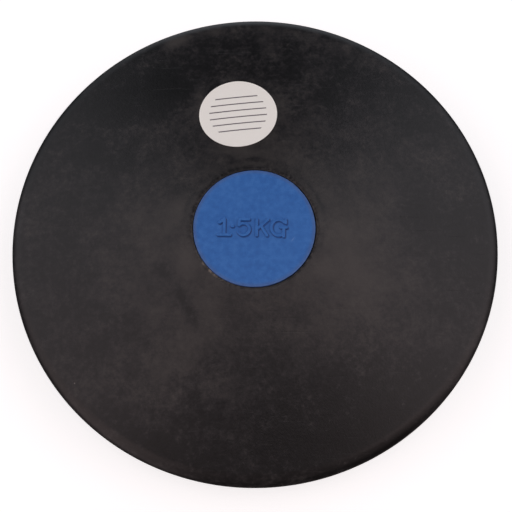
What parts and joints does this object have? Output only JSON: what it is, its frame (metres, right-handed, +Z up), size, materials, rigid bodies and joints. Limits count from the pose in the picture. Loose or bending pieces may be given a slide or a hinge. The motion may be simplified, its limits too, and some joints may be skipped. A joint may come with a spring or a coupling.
{
  "type": "discus",
  "caption": "Moulded rubber throwing discus with a tapered round form, a rounded rim, a coloured centre in each face and a round label.",
  "frame": {"origin": "centre of the lower face, on the plane that the discus rests on", "axes": "+Z up along the discus's axis; the label lies towards +Y, and the mark reads along +X"},
  "size_m": [0.201, 0.201, 0.039],
  "materials": {
    "body_rubber": "moulded black rubber, matt, with a light bloom",
    "centre_rubber": "moulded blue rubber, matt",
    "core_steel": "plain turned plate steel",
    "label_paper": "white adhesive label, satin"
  },
  "bodies": {
    "root": {"body": "body_rubber", "steel_core": "core_steel", "upper_centre": "centre_rubber", "lower_centre": "centre_rubber", "label": "label_paper"}
  },
  "joints": []
}
